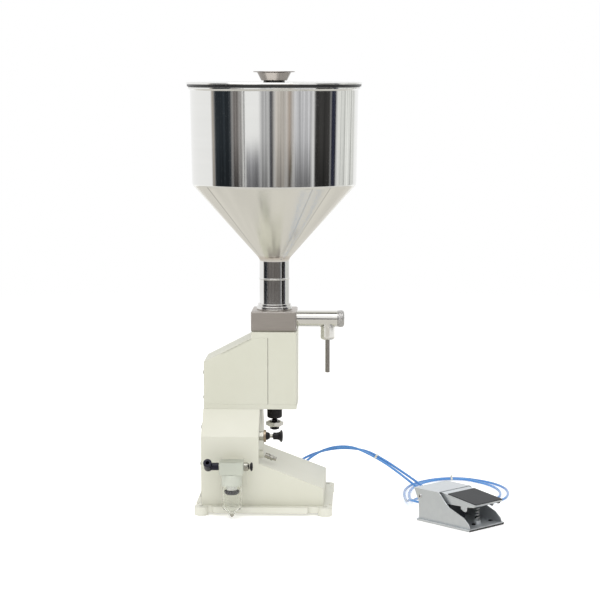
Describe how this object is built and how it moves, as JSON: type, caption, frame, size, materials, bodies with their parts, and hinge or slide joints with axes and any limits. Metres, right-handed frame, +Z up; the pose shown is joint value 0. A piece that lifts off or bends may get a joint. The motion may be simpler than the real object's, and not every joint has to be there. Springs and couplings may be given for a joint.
{
  "type": "pneumatic filling machine",
  "caption": "Bench-top pneumatic piston filler with a stainless hopper, outlet nozzle, air filter, push-pull valve and a separate foot valve on blue air tubes",
  "frame": {"origin": "on the bench, at the middle of the four bench bolt holes of the base casting", "axes": "+X from the rear panel towards the nozzle, +Y away from the operator's side, +Z up"},
  "size_m": [0.526, 0.3811, 0.698],
  "materials": {
    "cream_paint": "satin cream enamel on sheet and casting",
    "stainless": "turned and spun stainless steel, satin",
    "block_steel": "milled stainless block, satin",
    "rubber": "black nitrile rubber",
    "black_plastic": "black moulded plastic",
    "black_oxide": "blackened steel",
    "brass": "turned brass",
    "nickel": "nickel plated brass",
    "shell_grey": "pale grey die casting and bayonet ring",
    "clear_bowl": "clear polycarbonate",
    "sinter_white": "white sintered element on a black baffle",
    "aluminium": "anodised aluminium",
    "ptfe": "white fluoroplastic",
    "galvanised": "zinc plated sheet steel",
    "spring_steel": "spring wire",
    "blue_tube": "clear blue polyurethane",
    "tie_plastic": "natural nylon"
  },
  "bodies": {
    "machine": {"air_cylinder_body": "aluminium", "air_tube_a": "blue_tube", "air_tube_b": "blue_tube", "base_casting": "cream_paint", "block_seals": "rubber", "cable_ties": "tie_plastic", "control_valve_body": "aluminium", "filter_bowl": "clear_bowl", "filter_bracket": "galvanised", "filter_element": "sinter_white", "filter_head": "shell_grey", "filter_shell_ring": "shell_grey", "foot_base_plate": "galvanised", "foot_housing": "galvanised", "foot_mat": "rubber", "foot_valve_body": "aluminium", "head_base_plate": "cream_paint", "head_front": "cream_paint", "head_rear_cover": "cream_paint", "hopper": "stainless", "hopper_collar": "stainless", "inlet_guide": "stainless", "inlet_spring": "spring_steel", "lower_body": "cream_paint", "machine_screws": "black_oxide", "measuring_cylinder": "stainless", "nozzle": "stainless", "outlet_cap": "stainless", "outlet_fitting": "nickel", "outlet_spring": "spring_steel", "outlet_tube": "stainless", "pivot_pin": "stainless", "push_pull_gland": "black_plastic", "push_pull_lock_ring": "brass", "push_pull_valve_body": "nickel", "rear_access_panel": "cream_paint", "return_spring": "spring_steel", "speed_valve_body": "nickel", "stop_bumper": "black_plastic", "tube_fittings": "brass", "valve_block": "block_steel"},
    "lid": {"lid": "stainless", "lid_seals": "rubber", "lid_knob": "stainless"},
    "piston": {"piston_rod": "stainless", "dosing_piston": "ptfe", "air_piston": "aluminium", "piston_seals": "rubber"},
    "end_nut": {"end_nut": "black_oxide"},
    "stroke_nut": {"stroke_nut": "stainless"},
    "inlet_poppet": {"inlet_poppet": "stainless"},
    "outlet_poppet": {"outlet_poppet": "stainless"},
    "push_pull_knob": {"push_pull_knob": "black_plastic"},
    "speed_screw": {"speed_screw": "nickel"},
    "drain_cock": {"drain_cock": "black_plastic"},
    "inlet_elbow": {"inlet_elbow": "black_plastic"},
    "control_spool": {"control_spool": "aluminium"},
    "foot_tread": {"foot_tread": "galvanised", "tread_pad": "rubber"},
    "foot_plunger": {"foot_plunger": "nickel"}
  },
  "joints": [
    {"name": "lid_lift", "type": "slide", "parent": "machine", "child": "lid", "axis": [0, 0, 1], "range_m": [0, 0.06]},
    {"name": "piston_slide", "type": "slide", "parent": "machine", "child": "piston", "axis": [0, 0, 1], "range_m": [-0.04, 0]},
    {"name": "nut_climb", "type": "slide", "parent": "piston", "child": "end_nut", "axis": [0, 0, 1], "range_m": [0, 0.0024]},
    {"name": "stroke_nut_turn", "type": "hinge", "parent": "end_nut", "child": "stroke_nut", "pos_m": [0.014, 0, 0.1318], "axis": [0, 0, 1], "range_deg": [0, 576]},
    {"name": "inlet_poppet_slide", "type": "slide", "parent": "machine", "child": "inlet_poppet", "axis": [0, 0, -1], "range_m": [0, 0.006], "stiffness_N_per_m": 100, "springref_m": -0.01, "deforming": ["inlet_spring"]},
    {"name": "outlet_poppet_slide", "type": "slide", "parent": "machine", "child": "outlet_poppet", "axis": [1, 0, 0], "range_m": [0, 0.005], "stiffness_N_per_m": 100, "springref_m": -0.01, "deforming": ["outlet_spring"]},
    {"name": "push_pull", "type": "slide", "parent": "machine", "child": "push_pull_knob", "axis": [1, 0, 0], "range_m": [-0.0035, 0]},
    {"name": "speed_screw_turn", "type": "hinge", "parent": "machine", "child": "speed_screw", "pos_m": [-0.0015, -0.055, 0.0915], "axis": [0.9336, 0, -0.3584], "range_deg": [-360, 360]},
    {"name": "drain_turn", "type": "hinge", "parent": "machine", "child": "drain_cock", "pos_m": [-0.0477, -0.113, 0.005], "axis": [0, 0, 1], "range_deg": [0, 90]},
    {"name": "elbow_swivel", "type": "hinge", "parent": "machine", "child": "inlet_elbow", "pos_m": [-0.0667, -0.113, 0.083], "axis": [1, 0, 0], "continuous": true},
    {"name": "spool_shift", "type": "slide", "parent": "machine", "child": "control_spool", "axis": [1, 0, 0], "range_m": [0, 0.003]},
    {"name": "tread_press", "type": "hinge", "parent": "machine", "child": "foot_tread", "pos_m": [0.27374, -0.08864, 0.039], "axis": [0.7071, 0.7071, 0], "range_deg": [0, 10], "stiffness_Nm_per_rad": 1.2, "springref_deg": -20.05, "deforming": ["return_spring"]},
    {"name": "plunger_slide", "type": "slide", "parent": "machine", "child": "foot_plunger", "axis": [0, 0, -1], "range_m": [0, 0.0068]}
  ],
  "couplings": [
    {"joint": "nut_climb", "follows": "stroke_nut_turn", "m_per_rad": 0.00023873},
    {"joint": "plunger_slide", "follows": "tread_press", "m_per_rad": 0.037}
  ]
}
